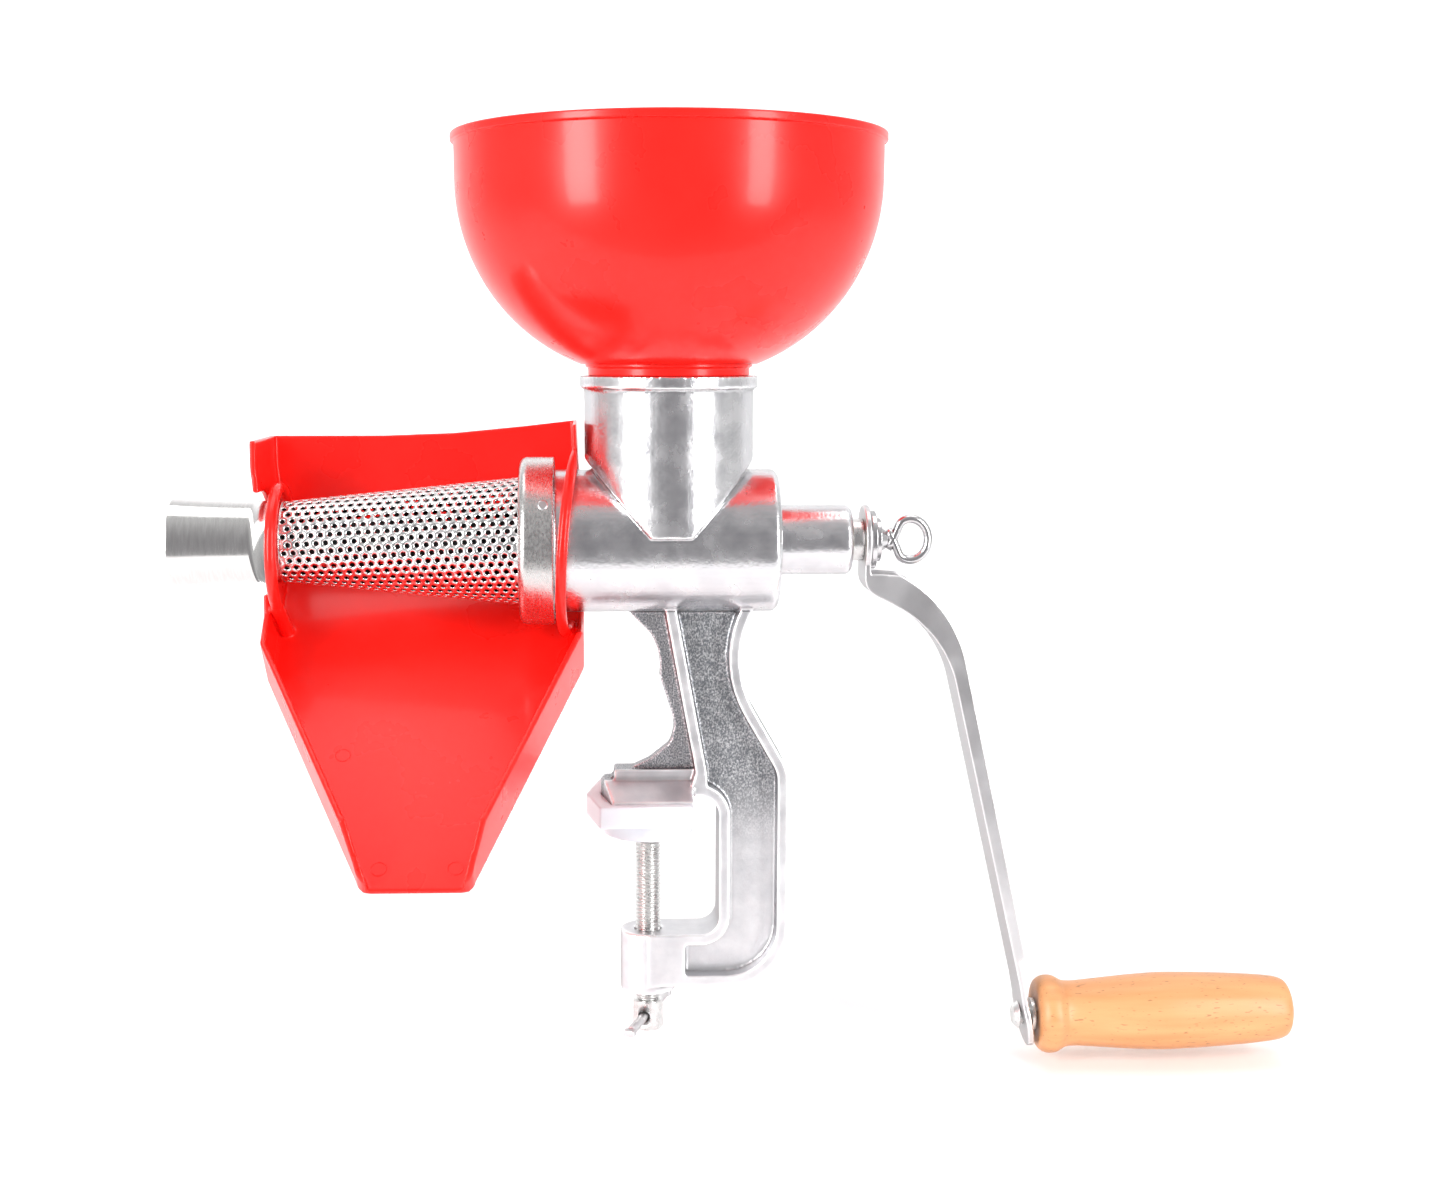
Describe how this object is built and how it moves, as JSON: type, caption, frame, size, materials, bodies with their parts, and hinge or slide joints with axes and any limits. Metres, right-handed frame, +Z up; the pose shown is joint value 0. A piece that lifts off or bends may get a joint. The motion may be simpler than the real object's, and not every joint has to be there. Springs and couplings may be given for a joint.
{
  "type": "hand crank tomato strainer",
  "caption": "Table-clamped hand crank strainer: an auger presses soft fruit through a perforated cone, juice runs down a chute and skins leave by a spout.",
  "frame": {"origin": "on the clamp screw's axis, on the table-top plane that the upper jaw's pad rests on", "axes": "+X along the barrel towards the crank, +Z up, -Y the side the chute pours to"},
  "size_m": [0.4306, 0.1611, 0.3536],
  "materials": {
    "cast_aluminium": "cast, bright, fine sand grain",
    "red_plastic": "glossy moulded",
    "white_plastic": "milky, slightly translucent",
    "stainless_sheet": "perforated sheet, satin",
    "stainless_collar": "satin",
    "stainless_tube": "brushed round the tube",
    "zinc_steel": "bright zinc plated",
    "screw_steel": "zinc plated, dull",
    "bronze": "sintered bronze",
    "black_rubber": "matt",
    "nylon": "natural nylon",
    "beech": "sanded and lightly waxed"
  },
  "bodies": {
    "frame": {"body_casting": "cast_aluminium", "jaw_pad": "white_plastic", "bearing_bush": "bronze", "shaft_seal": "black_rubber"},
    "hopper": {"hopper": "red_plastic"},
    "crank": {"drive_shaft": "screw_steel", "auger": "cast_aluminium", "thrust_washer": "nylon", "crank_arm": "zinc_steel", "handle_pin": "screw_steel", "pin_washer": "screw_steel"},
    "grip": {"wood_grip": "beech"},
    "thumb_slide": {"crank_washer": "zinc_steel"},
    "thumb_screw": {"eye_screw": "zinc_steel", "eye_loop": "zinc_steel"},
    "strainer": {"strainer_cone": "stainless_sheet", "strainer_collar": "stainless_collar", "collar_rivets": "zinc_steel", "strainer_gasket": "nylon", "waste_spout": "stainless_tube"},
    "guard": {"splash_guard": "red_plastic"},
    "clamp_slide": {"pressure_disc": "screw_steel", "pressure_pad": "white_plastic"},
    "clamp_screw": {"clamp_screw": "screw_steel"},
    "tommy_bar": {"tommy_bar": "zinc_steel"}
  },
  "joints": [
    {"name": "crank_turn", "type": "hinge", "parent": "frame", "child": "crank", "pos_m": [0.0815, 0, 0.106], "axis": [1, 0, 0], "continuous": true},
    {"name": "grip_spin", "type": "hinge", "parent": "crank", "child": "grip", "pos_m": [0.1484, 0, -0.0825], "axis": [0.9999, 0, 0.014], "continuous": true},
    {"name": "thumb_screw_travel", "type": "slide", "parent": "crank", "child": "thumb_slide", "axis": [1, 0, 0], "range_m": [0, 0.00625]},
    {"name": "thumb_screw_turn", "type": "hinge", "parent": "thumb_slide", "child": "thumb_screw", "pos_m": [0.0862, 0, 0.106], "axis": [1, 0, 0], "range_deg": [0, 1800]},
    {"name": "hopper_lift", "type": "slide", "parent": "frame", "child": "hopper", "axis": [0, 0, 1], "range_m": [0, 0.08]},
    {"name": "strainer_pull", "type": "slide", "parent": "frame", "child": "strainer", "axis": [-1, 0, 0], "range_m": [0, 0.13]},
    {"name": "guard_pull", "type": "slide", "parent": "strainer", "child": "guard", "axis": [-1, 0, 0], "range_m": [0, 0.17]},
    {"name": "clamp_travel", "type": "slide", "parent": "frame", "child": "clamp_slide", "axis": [0, 0, 1], "range_m": [-0.03, 0]},
    {"name": "clamp_turn", "type": "hinge", "parent": "clamp_slide", "child": "clamp_screw", "pos_m": [0, 0, -0.04], "axis": [0, 0, 1], "range_deg": [-7200, 0]},
    {"name": "tommy_bar_slide", "type": "slide", "parent": "clamp_screw", "child": "tommy_bar", "axis": [0.3256, 0.9455, 0], "range_m": [-0.015, 0.015]}
  ],
  "couplings": [
    {"joint": "clamp_travel", "follows": "clamp_turn", "m_per_rad": 0.00023873},
    {"joint": "thumb_screw_travel", "follows": "thumb_screw_turn", "m_per_rad": 0.00019894}
  ]
}
